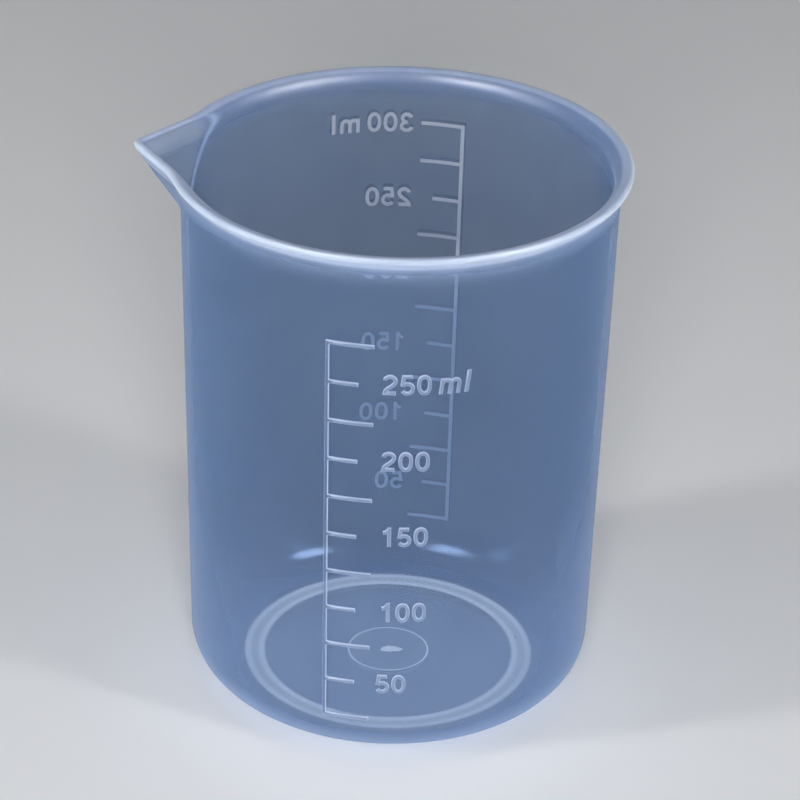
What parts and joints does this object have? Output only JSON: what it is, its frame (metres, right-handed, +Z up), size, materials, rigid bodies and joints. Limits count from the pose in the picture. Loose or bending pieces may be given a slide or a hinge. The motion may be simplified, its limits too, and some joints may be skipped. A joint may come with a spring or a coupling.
{
  "type": "measuring cup",
  "caption": "Translucent plastic measuring cup shaped like a low beaker, with a rolled lip, a V-shaped pouring spout, a foot ring and raised volume scales on its front and back.",
  "frame": {"origin": "on the cup's axis, in the plane that the foot ring stands on", "axes": "+Z up along the cup's axis, the spout points along -X, the front scale faces -Y"},
  "size_m": [0.0815, 0.0756, 0.0954],
  "materials": {
    "body": "translucent natural polypropylene, smooth moulded gloss",
    "marks": "the same polypropylene as the body, raised"
  },
  "bodies": {
    "root": {"cup_body": "body", "front_scale": "marks", "back_scale": "marks"}
  },
  "joints": []
}
